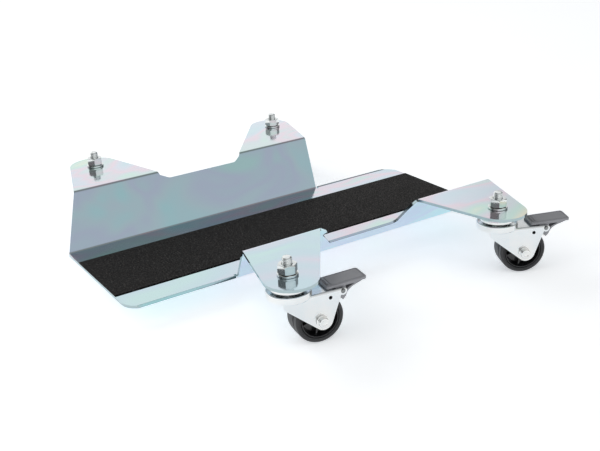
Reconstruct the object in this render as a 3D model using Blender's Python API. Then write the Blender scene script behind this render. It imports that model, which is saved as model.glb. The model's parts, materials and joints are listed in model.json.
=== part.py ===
"""Wheel dolly: one bent steel plate on four swivel castors, the front two with brakes.

Metres, +Z up. The floor is z = 0 and the origin is under the middle of the bed.
+X runs along the bed and +Y points to the rear, the side with the tall back plate.
"""

import math

import bmesh
import bpy
from mathutils import Matrix, Vector

MM = 0.001
GAP = 0.3 * MM
ROUND = 24
MEDIUM = 16
SMALL = 12

# The bent plate. Distances across the bed are measured on its top face.
SHEET = 3 * MM
BED_TOP = 20 * MM
BED_LENGTH = 466 * MM
BED_EDGE = 88 * MM
BED_CORNER_RADIUS = 20 * MM
FOLD_Y = 86.5 * MM
FOLD_RISE = 53 * MM
FOLD_ANGLE = math.radians(45)
FOLD_RADIUS = 6 * MM
FOLD_STEPS = 5
RELIEF_WIDTH = 3 * MM
RELIEF_DEPTH = 6 * MM
FOOT_END = 107.5 * MM
OUTER_EAR_END = 199.5 * MM
INNER_EAR_END = 128 * MM
REAR_ROOTS = (90 * MM, 26 * MM)
FRONT_ROOTS = (94.6 * MM, 35 * MM)
REAR_TIPS = ((143 * MM, 219.5 * MM, 30 * MM), (123 * MM, 222.5 * MM, 27 * MM))
FRONT_TIPS = ((141 * MM, 220 * MM, 28 * MM), (123 * MM, 221 * MM, 27 * MM))
REAR_VALLEY = 64 * MM
MOUTH_LIP = 23 * MM
MOUTH_START = 91.5 * MM

# The anti-slip strip stuck on the bed.
TAPE_WIDTH = 104 * MM
TAPE_SHIFT = 1 * MM
TAPE_THICKNESS = 0.8 * MM

# The castors. Each has its own frame: origin on the floor under the swivel axis, +X along the trail.
BOLT_Y = 214 * MM
OUTER_BOLT_X = 143 * MM
INNER_BOLT_X = 122 * MM
TRAIL = 26 * MM
WHEEL_RADIUS = 25 * MM
WHEEL_WIDTH = 24 * MM
HUB_RADIUS = 19.5 * MM
CHEEK_INNER = 13.2 * MM
CHEEK_THICKNESS = 2.2 * MM
CHEEK_OUTER = CHEEK_INNER + CHEEK_THICKNESS
CHEEK_LOBE = (27 * MM, 23.4 * MM, 9.4 * MM)
CHEEK_HOLE = (35.8 * MM, 46.9 * MM, 1.9 * MM)
AXLE_RADIUS = 3 * MM
BUSH_RADIUS = 4.5 * MM
CROWN_LOW = 51 * MM
CROWN_TOP = 53.2 * MM
CROWN_END = 39.5 * MM
HEAD_RADIUS = 21.8 * MM
HEAD_RIM = 58.6 * MM
RACE_RADIUS = 18.8 * MM
RACE_LOW = 60.2 * MM
EAR_TOP = BED_TOP + FOLD_RISE
EAR_UNDER = EAR_TOP - SHEET
BOLT_RADIUS = 5 * MM
BOLT_END = EAR_TOP + 17 * MM
WASHER_RADIUS = 10.4 * MM
WASHER_THICKNESS = 2 * MM
NUT_ACROSS_FLATS = 17 * MM
NUT_HEIGHT = 9 * MM
RIVET_RADIUS = 7.5 * MM
BALL_RADIUS = 2 * MM
BALL_CIRCLE = 14 * MM
BALL_LEVEL = 57.8 * MM
BALL_COUNT = 6

# The brake pedals, in the castor's frame: the pivot is the eye at the back of the cheeks.
PIVOT_X = 49.2 * MM
PIVOT_Z = 50.7 * MM
EYE_RADIUS = 4 * MM
PIN_RADIUS = 2 * MM
PAD_START = 34 * MM
PAD_END = 77 * MM
PAD_HALF_WIDTH = 11.5 * MM
PAD_UNDER = 54.4 * MM
PAD_THICKNESS = 2.2 * MM
PAD_TILT = math.radians(3)
LEVER_HALF_WIDTH = 11 * MM
SHOE_RADIUS = 27.4 * MM
SHOE_THICKNESS = 1 * MM
SHOE_ANGLES = (30, 56)
SHOE_HALF_WIDTH = 8 * MM

CASTORS = {
    "front_left": (-INNER_BOLT_X, -BOLT_Y, -9, True),
    "front_right": (OUTER_BOLT_X, -BOLT_Y, -25, True),
    "rear_left": (-OUTER_BOLT_X, BOLT_Y, 14, False),
    "rear_right": (INNER_BOLT_X, BOLT_Y, 22, False),
}


# --- Materials ---------------------------------------------------------------


def material(name, colour, roughness, metallic):
    made = bpy.data.materials.new(name)
    made.use_nodes = True
    shader = made.node_tree.nodes["Principled BSDF"]
    shader.inputs["Base Color"].default_value = (*colour, 1)
    shader.inputs["Roughness"].default_value = roughness
    shader.inputs["Metallic"].default_value = metallic
    return made


def make_materials():
    return {
        "zinc": material("zinc_plate", (0.70, 0.76, 0.80), 0.22, 1.0),
        "bright": material("bright_steel", (0.86, 0.88, 0.89), 0.28, 1.0),
        "bolt": material("bolt_steel", (0.62, 0.64, 0.66), 0.2, 1.0),
        "tape": material("anti_slip_grit", (0.025, 0.024, 0.025), 0.9, 0.0),
        "tread": material("tread_rubber", (0.05, 0.05, 0.052), 0.6, 0.0),
        "hub": material("hub_plastic", (0.012, 0.012, 0.013), 0.3, 0.0),
        "pedal": material("pedal_plastic", (0.30, 0.30, 0.32), 0.5, 0.0),
    }


# --- Shape helpers -----------------------------------------------------------


def arc(centre, radius, start, end, steps):
    """Points on an arc from start to end degrees."""
    turns = [math.radians(start + (end - start) * i / steps) for i in range(steps + 1)]
    return [(centre[0] + radius * math.cos(a), centre[1] + radius * math.sin(a)) for a in turns]


def circle(radius, steps, centre=(0, 0)):
    return arc(centre, radius, 0, 360, steps)[:-1]


def hexagon(across_flats):
    return circle(across_flats / math.sqrt(3), 6)


def rounded(corners, steps=5):
    """An outline through corners (x, y, radius), each one filleted to its radius."""
    points = []
    for i, (x, y, radius) in enumerate(corners):
        here = Vector((x, y))
        if radius == 0:
            points.append((x, y))
            continue
        before = (Vector(corners[i - 1][:2]) - here).normalized()
        after = (Vector(corners[(i + 1) % len(corners)][:2]) - here).normalized()
        half = before.angle(after) / 2
        centre = here + (before + after).normalized() * radius / math.sin(half)
        first = here + before * radius / math.tan(half) - centre
        last = here + after * radius / math.tan(half) - centre
        turn = first.angle_signed(last)
        for k in range(steps + 1):
            a = -turn * k / steps
            spoke = Matrix.Rotation(a, 2) @ first
            points.append(tuple(centre + spoke))
    return points


def tangent_point(start, centre, radius, side):
    """Where a line from start touches a circle: side is +1 for its left and -1 for its right."""
    away = Vector(centre) - Vector(start)
    reach = math.sqrt(away.length_squared - radius**2)
    turn = side * math.asin(radius / away.length)
    return Vector(start) + (Matrix.Rotation(turn, 2) @ away).normalized() * reach


def prism(outline, low, high):
    """A straight solid over an outline in XY, from low to high in Z."""
    bm = bmesh.new()
    face = bm.faces.new([bm.verts.new((x, y, low)) for x, y in outline])
    grown = bmesh.ops.extrude_face_region(bm, geom=[face])["geom"]
    top = [v for v in grown if isinstance(v, bmesh.types.BMVert)]
    bmesh.ops.translate(bm, verts=top, vec=(0, 0, high - low))
    bmesh.ops.recalc_face_normals(bm, faces=bm.faces)
    return bm


def side_prism(outline, low, high):
    """A straight solid over an outline in XZ, from low to high in Y."""
    bm = prism(outline, -high, -low)
    bmesh.ops.rotate(bm, verts=bm.verts, matrix=Matrix.Rotation(math.pi / 2, 3, "X"))
    return bm


def turned(profile, steps, axis="Z"):
    """A solid of revolution from (radius, height) points, open where it starts and ends on the axis."""
    bm = bmesh.new()
    verts = [bm.verts.new((r, 0, z)) for r, z in profile]
    edges = [bm.edges.new(pair) for pair in zip(verts, verts[1:])]
    if profile[0][0] > 0:
        edges.append(bm.edges.new((verts[-1], verts[0])))
    whole = {"angle": 2 * math.pi, "steps": steps, "axis": (0, 0, 1), "use_merge": True}
    bmesh.ops.spin(bm, geom=verts + edges, cent=(0, 0, 0), **whole)
    bmesh.ops.remove_doubles(bm, verts=bm.verts, dist=0.001 * MM)
    bmesh.ops.recalc_face_normals(bm, faces=bm.faces)
    if axis == "Y":
        bmesh.ops.rotate(bm, verts=bm.verts, matrix=Matrix.Rotation(math.pi / 2, 3, "X"))
    return bm


def tube(inner, outer, low, high, steps, axis="Z"):
    return turned([(inner, low), (outer, low), (outer, high), (inner, high)], steps, axis)


def rod(radius, low, high, steps, chamfer=0, axis="Z"):
    ends = [(radius, low), (radius, high)]
    if chamfer:
        ends = [(radius - chamfer, low), (radius, low + chamfer)]
        ends += [(radius, high - chamfer), (radius - chamfer, high)]
    return turned([(0, low), *ends, (0, high)], steps, axis)


def moved(bm, x=0, y=0, z=0):
    bmesh.ops.translate(bm, verts=bm.verts, vec=(x, y, z))
    return bm


def mesh_of(bm, name, smooth_angle=32):
    mesh = bpy.data.meshes.new(name)
    bm.to_mesh(mesh)
    bm.free()
    mesh.shade_smooth()
    mesh.set_sharp_from_angle(angle=math.radians(smooth_angle))
    return mesh


def combined(name, base, joined=(), cut=()):
    """One mesh from a base shape with others joined to it and then others cut out of it."""
    whole = bpy.data.objects.new(name, mesh_of(base, name))
    bpy.context.scene.collection.objects.link(whole)
    helpers = []
    for kind, shapes in (("UNION", joined), ("DIFFERENCE", cut)):
        for shape in shapes:
            helper = bpy.data.objects.new(name + "_helper", mesh_of(shape, name + "_helper"))
            helper.hide_render = True
            helper.display_type = "WIRE"
            bpy.context.scene.collection.objects.link(helper)
            step = whole.modifiers.new(kind.title(), "BOOLEAN")
            step.operation = kind
            step.object = helper
            helpers.append(helper)
    bpy.context.view_layer.update()
    graph = bpy.context.evaluated_depsgraph_get()
    mesh = bpy.data.meshes.new_from_object(whole.evaluated_get(graph))
    for used in [whole, *helpers]:
        bpy.data.objects.remove(used)
    mesh.name = name
    mesh.shade_smooth()
    mesh.set_sharp_from_angle(angle=math.radians(32))
    return mesh


def add(name, mesh, finish, parent=None):
    node = bpy.data.objects.new(name, mesh)
    if not mesh.materials:
        mesh.materials.append(finish)
    node.parent = parent
    bpy.context.scene.collection.objects.link(node)
    return node


def empty(name, location, parent=None, turn=0):
    made = bpy.data.objects.new(name, None)
    made.empty_display_size = 10 * MM
    made.location = location
    made.rotation_euler = (0, 0, math.radians(turn))
    made.parent = parent
    bpy.context.scene.collection.objects.link(made)
    return made


# --- The bent plate ----------------------------------------------------------

FOLD_SETBACK = FOLD_RADIUS * math.tan(FOLD_ANGLE / 2)
FOLD_ARC = FOLD_RADIUS * FOLD_ANGLE
SLANT = FOLD_RISE / math.sin(FOLD_ANGLE)
FIRST_FOLD = FOLD_Y - FOLD_SETBACK
SECOND_FOLD = FIRST_FOLD + FOLD_ARC + SLANT - 2 * FOLD_SETBACK
RIDGE_Y = FOLD_Y + FOLD_RISE / math.tan(FOLD_ANGLE)


def on_slant(distance):
    """Flat-pattern position of a point this far up the slant from its foot."""
    return FOLD_Y + distance


def on_ear(y):
    """Flat-pattern position of a point of an ear at this distance from the bed's centre line."""
    return SECOND_FOLD + FOLD_ARC / 2 + y - RIDGE_Y


def ear_outline(left, right, tip):
    """An ear from its left root to its right root, round the tip (x, y, radius)."""
    ridge = on_ear(RIDGE_Y)
    centre = Vector((tip[0], on_ear(tip[1])))
    first = tangent_point((left, ridge), centre, tip[2], 1) - centre
    last = tangent_point((right, ridge), centre, tip[2], -1) - centre
    start = math.degrees(math.atan2(first.y, first.x))
    end = math.degrees(math.atan2(last.y, last.x))
    return [(left, ridge), *arc(centre, tip[2], start, end, 14), (right, ridge)]


def half_outline(roots, tips, valley):
    """One long side of the flat blank, from the left end of the bed to its right end."""
    end = BED_LENGTH / 2
    relief = FOLD_Y + 1.5 * MM - RELIEF_DEPTH
    corner = arc((end - BED_CORNER_RADIUS, BED_EDGE - BED_CORNER_RADIUS), BED_CORNER_RADIUS, 90, 0, 6)
    outer_tip = (-tips[0][0], *tips[0][1:])
    return [
        (-end, FIRST_FOLD),
        *ear_outline(-OUTER_EAR_END, -roots[0], outer_tip),
        *valley,
        *ear_outline(roots[1], INNER_EAR_END, tips[1]),
        (FOOT_END, FIRST_FOLD),
        (FOOT_END, relief),
        (FOOT_END + RELIEF_WIDTH, relief),
        (FOOT_END + RELIEF_WIDTH, BED_EDGE),
        *corner,
    ]


def rear_valley():
    """The shallow dip between the rear ears."""
    top = on_slant(REAR_VALLEY)
    ridge = on_ear(RIDGE_Y)
    left = (-REAR_ROOTS[0] + 0.5 * MM, ridge - 4 * MM, 0)
    right = (REAR_ROOTS[1] - 3 * MM, ridge - 4 * MM, 0)
    low_left = (-79 * MM, top, 8 * MM)
    low_right = (14 * MM, top, 9 * MM)
    return rounded([left, low_left, low_right, right])


def front_mouth():
    """The low lip between the front ears, in the front half's own turned frame."""
    lip = on_slant(MOUTH_LIP)
    ridge = on_ear(RIDGE_Y)
    top_left = (-FRONT_ROOTS[0] + 0.1 * MM, ridge - 0.5 * MM, 0)
    brow = (-MOUTH_START, ridge - 12 * MM, 40 * MM)
    low_left = (-MOUTH_START, lip, 7 * MM)
    low_right = (0, lip, 2 * MM)
    diagonal = (FRONT_ROOTS[1] - 7 * MM, on_slant(61 * MM), 4 * MM)
    return rounded([top_left, brow, low_left, low_right, diagonal])


def folded(x, across, height):
    """Where a point of the flat blank lands once the blank is bent. height is off its middle."""
    side = 1 if across >= 0 else -1
    left = abs(across)
    y = min(left, FIRST_FOLD)
    z = 0
    lean = 0
    for turn, straight in ((FOLD_ANGLE, SECOND_FOLD - FIRST_FOLD - FOLD_ARC), (-FOLD_ANGLE, 1)):
        bend_start = FIRST_FOLD if turn > 0 else SECOND_FOLD
        if left <= bend_start:
            break
        part = min((left - bend_start) / FOLD_ARC, 1)
        chord = 2 * FOLD_RADIUS * math.sin(FOLD_ANGLE * part / 2)
        y += chord * math.cos(lean + turn * part / 2)
        z += chord * math.sin(lean + turn * part / 2)
        lean += turn * part
        run = min(max(left - bend_start - FOLD_ARC, 0), straight)
        y += run * math.cos(lean)
        z += run * math.sin(lean)
    y -= height * math.sin(lean)
    z += height * math.cos(lean)
    return Vector((x, side * y, BED_TOP - SHEET / 2 + z))


def plate_shape():
    rear = half_outline(REAR_ROOTS, REAR_TIPS, rear_valley())
    front = [(-x, -s) for x, s in half_outline(FRONT_ROOTS, FRONT_TIPS, front_mouth())]
    bm = bmesh.new()
    bm.faces.new([bm.verts.new((x, s, 0)) for x, s in rear + front])
    for bend_start in (FIRST_FOLD, SECOND_FOLD):
        for k in range(FOLD_STEPS + 1):
            for side in (1, -1):
                line = side * (bend_start + FOLD_ARC * k / FOLD_STEPS)
                geom = [*bm.verts, *bm.edges, *bm.faces]
                plane = {"plane_co": (0, line, 0), "plane_no": (0, 1, 0)}
                bmesh.ops.bisect_plane(bm, geom=geom, dist=0.001 * MM, **plane)
    grown = bmesh.ops.extrude_face_region(bm, geom=list(bm.faces))["geom"]
    top = {v for v in grown if isinstance(v, bmesh.types.BMVert)}
    for vert in bm.verts:
        height = SHEET / 2 if vert in top else -SHEET / 2
        vert.co = folded(vert.co.x, vert.co.y, height)
    bmesh.ops.recalc_face_normals(bm, faces=bm.faces)
    return bm


def make_plate(finish):
    holes = []
    for x, y, _, _ in CASTORS.values():
        hole = rod(BOLT_RADIUS + GAP, EAR_UNDER - 5 * MM, EAR_TOP + 5 * MM, MEDIUM)
        holes.append(moved(hole, x, y))
    add("dolly_plate", combined("dolly_plate", plate_shape(), cut=holes), finish["zinc"])


def make_tape(finish):
    end = BED_LENGTH / 2 - GAP
    low = TAPE_SHIFT - TAPE_WIDTH / 2
    high = TAPE_SHIFT + TAPE_WIDTH / 2
    outline = [(-end, low), (end, low), (end, high), (-end, high)]
    base = BED_TOP + GAP
    strip = mesh_of(prism(outline, base, base + TAPE_THICKNESS), "grip_tape")
    add("grip_tape", strip, finish["tape"])


# --- The castors -------------------------------------------------------------


def cheek_outline(braked):
    """A fork cheek from the side: a triangle from the crown to the axle, with an eye for the pedal."""
    axle = CHEEK_LOBE[:2]
    lobe = CHEEK_LOBE[2]
    front = Vector((-11 * MM, 44.5 * MM))
    back = Vector((46 * MM, 45 * MM))
    low_front = tangent_point(front, axle, lobe, -1) - Vector(axle)
    low_back = tangent_point(back, axle, lobe, 1) - Vector(axle)
    start = math.degrees(math.atan2(low_front.y, low_front.x)) % 360
    end = math.degrees(math.atan2(low_back.y, low_back.x)) % 360
    outline = [(-12 * MM, CROWN_TOP - 0.4 * MM), tuple(front)]
    outline += arc(axle, lobe, start, end if end > start else end + 360, 6)
    if braked:
        outline += arc((PIVOT_X, PIVOT_Z), EYE_RADIUS, -125, 110, 7)
        outline.append((CROWN_END, CROWN_TOP - 0.4 * MM))
    else:
        outline += [tuple(back), (46 * MM, CROWN_TOP - 0.4 * MM)]
    return outline


def fork_mesh(name, braked):
    crown = [(CROWN_END, -CHEEK_OUTER), (CROWN_END, CHEEK_OUTER)]
    edge = math.degrees(math.asin(CHEEK_OUTER / HEAD_RADIUS))
    crown += arc((0, 0), HEAD_RADIUS, edge, 360 - edge, 18)
    base = prism(crown, CROWN_LOW, CROWN_TOP)
    cheeks = []
    for low in (CHEEK_INNER, -CHEEK_OUTER):
        cheeks.append(side_prism(cheek_outline(braked), low, low + CHEEK_THICKNESS))
    head = [
        (9 * MM, CROWN_TOP - 1 * MM),
        (HEAD_RADIUS - 0.8 * MM, CROWN_TOP - 1 * MM),
        (HEAD_RADIUS, CROWN_TOP + 0.5 * MM),
        (HEAD_RADIUS, HEAD_RIM),
        (HEAD_RADIUS - 1.5 * MM, HEAD_RIM),
        (HEAD_RADIUS - 1.8 * MM, BALL_LEVEL - BALL_RADIUS - GAP),
        (9 * MM, BALL_LEVEL - BALL_RADIUS - GAP),
    ]
    cuts = [rod(RIVET_RADIUS + GAP, 45 * MM, 60 * MM, MEDIUM)]
    holes = [(TRAIL, WHEEL_RADIUS, AXLE_RADIUS + GAP), CHEEK_HOLE]
    if braked:
        holes.append((PIVOT_X, PIVOT_Z, PIN_RADIUS + GAP))
    for x, z, radius in holes:
        hole = rod(radius, -CHEEK_OUTER - MM, CHEEK_OUTER + MM, SMALL, axis="Y")
        cuts.append(moved(hole, x, 0, z))
    return combined(name, base, [*cheeks, turned(head, ROUND)], cuts)


def top_race_mesh():
    """The cup bolted under the ear: a flat top and a skirt whose end runs on the balls."""
    top = EAR_UNDER - GAP
    profile = [
        (BOLT_RADIUS + GAP, 66 * MM),
        (10.5 * MM, 66 * MM),
        (11.5 * MM, RACE_LOW),
        (RACE_RADIUS - 0.6 * MM, RACE_LOW),
        (RACE_RADIUS, RACE_LOW + 0.8 * MM),
        (RACE_RADIUS, 67 * MM),
        (RACE_RADIUS - 1.5 * MM, top),
        (BOLT_RADIUS + GAP, top),
    ]
    return mesh_of(turned(profile, ROUND), "top_race")


def ball_ring_mesh():
    """The swivel's balls in their cage."""
    level = BALL_LEVEL
    cage = tube(BALL_CIRCLE - 1 * MM, BALL_CIRCLE + 1 * MM, level - 0.6 * MM, level + 0.6 * MM, 18)
    balls = []
    for i in range(BALL_COUNT):
        a = 2 * math.pi * i / BALL_COUNT
        ball = bmesh.new()
        bmesh.ops.create_uvsphere(ball, u_segments=8, v_segments=5, radius=BALL_RADIUS)
        balls.append(moved(ball, BALL_CIRCLE * math.cos(a), BALL_CIRCLE * math.sin(a), level))
    return combined("ball_ring", cage, balls)


def king_rivet_mesh():
    """The tube that the fork turns on, flanged under the crown."""
    low = CROWN_LOW - GAP
    profile = [
        (BOLT_RADIUS + GAP, low - 1.4 * MM),
        (10.5 * MM, low - 1.4 * MM),
        (10.5 * MM, low),
        (RIVET_RADIUS, low),
        (RIVET_RADIUS, 66 * MM - GAP),
        (BOLT_RADIUS + GAP, 66 * MM - GAP),
    ]
    return mesh_of(turned(profile, MEDIUM), "king_rivet")


def king_bolt_mesh():
    """A bolt with a low round head under the rivet, its end above the nut."""
    head_top = CROWN_LOW - 2 * GAP - 1.4 * MM
    profile = [
        (0, head_top - 3.6 * MM),
        (6.5 * MM, head_top - 3.6 * MM),
        (8 * MM, head_top - 2.4 * MM),
        (8 * MM, head_top),
        (BOLT_RADIUS, head_top),
        (BOLT_RADIUS, BOLT_END - 1.2 * MM),
        (BOLT_RADIUS - 1 * MM, BOLT_END),
        (0, BOLT_END),
    ]
    return mesh_of(turned(profile, SMALL), "king_bolt")


def hex_nut(height, across_flats, bore, collar=0):
    """A hexagon nut on z = 0 with its corners chamfered at the top, and a collar if it locks."""
    reach = across_flats / math.sqrt(3)
    body = prism(hexagon(across_flats), 0, height - collar)
    cone = [(0, -MM), (reach + MM, -MM), (reach + MM, height - collar - 1.6 * MM)]
    cone += [(across_flats / 2 - 0.2 * MM, height - collar + 0.02 * MM), (0, height - collar + 0.02 * MM)]
    return body, turned(cone, ROUND), rod(bore, -5 * MM, height + 5 * MM, SMALL)


def lock_nut_mesh():
    collar = 2.2 * MM
    body, cone, bore = hex_nut(NUT_HEIGHT, NUT_ACROSS_FLATS, BOLT_RADIUS + GAP, collar)
    radius = NUT_ACROSS_FLATS / 2 - 1.2 * MM
    ring = [(0, 3 * MM), (radius, 3 * MM), (radius, NUT_HEIGHT - 1 * MM)]
    ring += [(radius - 1 * MM, NUT_HEIGHT), (0, NUT_HEIGHT)]
    return bored("lock_nut", body, cone, [turned(ring, MEDIUM)], bore)


def bored(name, body, cone, joined, bore):
    """A hexagon body kept inside a cone, with shapes joined on and a bore cut through."""
    holder = bpy.data.objects.new(name, mesh_of(body, name))
    limit = bpy.data.objects.new(name + "_limit", mesh_of(cone, name + "_limit"))
    limit.hide_render = True
    limit.display_type = "WIRE"
    for made in (holder, limit):
        bpy.context.scene.collection.objects.link(made)
    step = holder.modifiers.new("Chamfer", "BOOLEAN")
    step.operation = "INTERSECT"
    step.object = limit
    bpy.context.view_layer.update()
    graph = bpy.context.evaluated_depsgraph_get()
    chamfered = bmesh.new()
    chamfered.from_mesh(bpy.data.meshes.new_from_object(holder.evaluated_get(graph)))
    for used in (holder, limit):
        bpy.data.objects.remove(used)
    return combined(name, chamfered, joined, [bore])


def tyre_mesh():
    """The tread ring: flat across, with soft shoulders and a lip down each side."""
    half = WHEEL_WIDTH / 2
    inner = HUB_RADIUS + GAP
    profile = [
        (inner, -half + 1 * MM),
        (20.6 * MM, -half),
        (23.4 * MM, -half),
        (WHEEL_RADIUS, -half + 2 * MM),
        (WHEEL_RADIUS, half - 2 * MM),
        (23.4 * MM, half),
        (20.6 * MM, half),
        (inner, half - 1 * MM),
    ]
    return mesh_of(turned(profile, ROUND, "Y"), "tyre")


def hub_mesh():
    """The wheel centre: a rim, a recessed web on both sides and a boss on the bush."""
    half = WHEEL_WIDTH / 2
    bore = BUSH_RADIUS + GAP
    side = [
        (HUB_RADIUS, half - 1 * MM),
        (17.5 * MM, half - 1 * MM),
        (16.5 * MM, 3 * MM),
        (9 * MM, 3 * MM),
        (8 * MM, half + 0.8 * MM),
        (bore, half + 0.8 * MM),
    ]
    profile = [(r, -y) for r, y in side] + side[::-1]
    return mesh_of(turned(profile, MEDIUM, "Y"), "hub")


def axle_bolt_mesh():
    head = side_prism(circle(5.8 * MM, 6), -CHEEK_OUTER - GAP - 4 * MM, -CHEEK_OUTER - GAP)
    shank = rod(AXLE_RADIUS, -CHEEK_OUTER - 6.5 * MM, CHEEK_OUTER + 2 * MM, SMALL, 0, "Y")
    return combined("axle_bolt", head, [shank])


def axle_nut_mesh():
    body, cone, bore = hex_nut(5 * MM, 10 * MM, AXLE_RADIUS + GAP)
    mesh = bored("axle_nut", body, cone, [], bore)
    mesh.transform(Matrix.Translation((0, CHEEK_OUTER + GAP, 0)) @ Matrix.Rotation(-math.pi / 2, 4, "X"))
    return mesh


# --- The brake ---------------------------------------------------------------


def pedal_mesh():
    """The pedal about its pivot: a tilted pad with a raised middle, on a lever that ends in a toe."""
    low = PAD_UNDER - PIVOT_Z
    high = low + PAD_THICKNESS
    half = PAD_HALF_WIDTH
    corners = [(PAD_START, -half), (PAD_END, -half), (PAD_END, half), (PAD_START, half)]
    pad = prism(rounded([(x - PIVOT_X, y, 3 * MM) for x, y in corners], 3), low, high)
    middle = [f for f in pad.faces if f.normal.z > 0.9]
    bmesh.ops.inset_region(pad, faces=middle, thickness=1.6 * MM)
    raised = {v for f in middle for v in f.verts}
    bmesh.ops.translate(pad, verts=list(raised), vec=(0, 0, 0.7 * MM))
    bmesh.ops.rotate(pad, verts=pad.verts, matrix=Matrix.Rotation(-PAD_TILT, 3, "Y"))
    wheel = (TRAIL - PIVOT_X, WHEEL_RADIUS - PIVOT_Z)
    toe = SHOE_RADIUS + SHOE_THICKNESS + GAP
    lever = [(-6 * MM, low + 1 * MM)]
    lever += arc(wheel, toe, SHOE_ANGLES[1] - 4, SHOE_ANGLES[0], 4)
    lever += [(3.2 * MM, -7.6 * MM), (4.6 * MM, -3.6 * MM), (9 * MM, 0.6 * MM), (15 * MM, 2.9 * MM)]
    lever += [(22 * MM, low + 1.8 * MM)]
    width = LEVER_HALF_WIDTH
    bore = rod(PIN_RADIUS + GAP, -20 * MM, 20 * MM, SMALL, axis="Y")
    return combined("brake_pedal", pad, [side_prism(lever, -width, width)], [bore])


def shoe_mesh():
    """The curved steel shoe under the pedal's toe, about the pedal's pivot."""
    centre = (TRAIL - PIVOT_X, WHEEL_RADIUS - PIVOT_Z)
    outline = arc(centre, SHOE_RADIUS, SHOE_ANGLES[0], SHOE_ANGLES[1], 6)
    outline += arc(centre, SHOE_RADIUS + SHOE_THICKNESS, SHOE_ANGLES[1], SHOE_ANGLES[0], 6)
    return mesh_of(side_prism(outline, -SHOE_HALF_WIDTH, SHOE_HALF_WIDTH), "brake_shoe")


def pin_mesh():
    half = CHEEK_OUTER + 0.8 * MM
    return mesh_of(rod(PIN_RADIUS, -half, half, SMALL, 0.4 * MM, "Y"), "pedal_pin")


# --- Assembly ----------------------------------------------------------------


def castor_meshes():
    nut_level = EAR_TOP + GAP + WASHER_THICKNESS + GAP
    washer = tube(BOLT_RADIUS + GAP, WASHER_RADIUS, 0, WASHER_THICKNESS, ROUND)
    lock_nut = lock_nut_mesh()
    lock_nut.transform(Matrix.Translation((0, 0, nut_level)))
    bush = tube(AXLE_RADIUS + GAP, BUSH_RADIUS, -CHEEK_INNER + GAP, CHEEK_INNER - GAP, SMALL, "Y")
    return {
        "king_bolt": king_bolt_mesh(),
        "washer": mesh_of(moved(washer, 0, 0, EAR_TOP + GAP), "washer"),
        "lock_nut": lock_nut,
        "top_race": top_race_mesh(),
        "ball_ring": ball_ring_mesh(),
        "king_rivet": king_rivet_mesh(),
        "plain_fork": fork_mesh("plain_fork", False),
        "braked_fork": fork_mesh("braked_fork", True),
        "tyre": tyre_mesh(),
        "hub": hub_mesh(),
        "axle_bolt": axle_bolt_mesh(),
        "axle_nut": axle_nut_mesh(),
        "axle_bush": mesh_of(bush, "axle_bush"),
        "brake_pedal": pedal_mesh(),
        "brake_shoe": shoe_mesh(),
        "pedal_pin": pin_mesh(),
    }


def make_castor(name, place, meshes, finish):
    x, y, turn, braked = place
    stem = empty(name + "_stem", (x, y, 0))
    swivel = empty(name + "_swivel_axis", (x, y, 0), turn=turn)
    axle = empty(name + "_wheel_axis", (TRAIL, 0, WHEEL_RADIUS), swivel)
    fixed = {"king_bolt": "bolt", "washer": "bolt", "lock_nut": "bolt"}
    fixed.update(top_race="bright", king_rivet="bright")
    for part, look in fixed.items():
        add(f"{name}_{part}", meshes[part], finish[look], stem)
    add(name + "_ball_ring", meshes["ball_ring"], finish["bolt"], swivel)
    fork = "braked_fork" if braked else "plain_fork"
    add(name + "_fork", meshes[fork], finish["bright"], swivel)
    on_axle = {"tyre": "tread", "hub": "hub", "axle_bolt": "bright", "axle_nut": "bright", "axle_bush": "bolt"}
    for part, look in on_axle.items():
        add(f"{name}_{part}", meshes[part], finish[look], axle)
    if braked:
        pivot = empty(name + "_pedal_axis", (PIVOT_X, 0, PIVOT_Z), swivel)
        for part, look in {"brake_pedal": "pedal", "brake_shoe": "bright", "pedal_pin": "bright"}.items():
            add(f"{name}_{part}", meshes[part], finish[look], pivot)


def main():
    for old in list(bpy.data.objects):
        bpy.data.objects.remove(old)
    finish = make_materials()
    make_plate(finish)
    make_tape(finish)
    meshes = castor_meshes()
    for name, place in CASTORS.items():
        make_castor(name, place, meshes, finish)


main()
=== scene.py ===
"""Looks for the wheel dolly: zinc-plated sheet, gritty strip, pressed castors, wheels, pedals, studio."""

import json
import math

import bmesh
import bpy
from mathutils import Matrix, Vector


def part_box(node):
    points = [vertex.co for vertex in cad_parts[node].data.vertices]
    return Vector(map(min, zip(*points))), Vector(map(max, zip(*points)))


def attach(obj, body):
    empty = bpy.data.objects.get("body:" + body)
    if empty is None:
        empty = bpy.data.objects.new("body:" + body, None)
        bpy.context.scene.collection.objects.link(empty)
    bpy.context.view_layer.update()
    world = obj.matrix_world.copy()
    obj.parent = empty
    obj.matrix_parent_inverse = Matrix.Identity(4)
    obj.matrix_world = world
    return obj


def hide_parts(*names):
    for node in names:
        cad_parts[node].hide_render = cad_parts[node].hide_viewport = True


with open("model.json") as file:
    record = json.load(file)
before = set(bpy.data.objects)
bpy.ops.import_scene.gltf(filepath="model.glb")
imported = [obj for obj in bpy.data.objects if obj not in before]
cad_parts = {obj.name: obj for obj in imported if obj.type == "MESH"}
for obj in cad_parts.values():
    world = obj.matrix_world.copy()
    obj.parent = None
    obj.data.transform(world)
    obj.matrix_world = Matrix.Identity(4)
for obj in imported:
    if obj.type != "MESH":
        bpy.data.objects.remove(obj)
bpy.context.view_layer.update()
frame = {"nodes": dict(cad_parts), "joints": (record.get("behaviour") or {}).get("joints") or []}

MM = 0.001

# The camera: where it stands, which way it points and how it is tipped.
CAMERA_PLACE = (-0.520, -0.880, 0.440)
CAMERA_HEADING = math.radians(-31.87)
CAMERA_PITCH = math.radians(67.67)
CAMERA_ROLL = math.radians(-2.84)
CAMERA_LENS = 55.5

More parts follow.
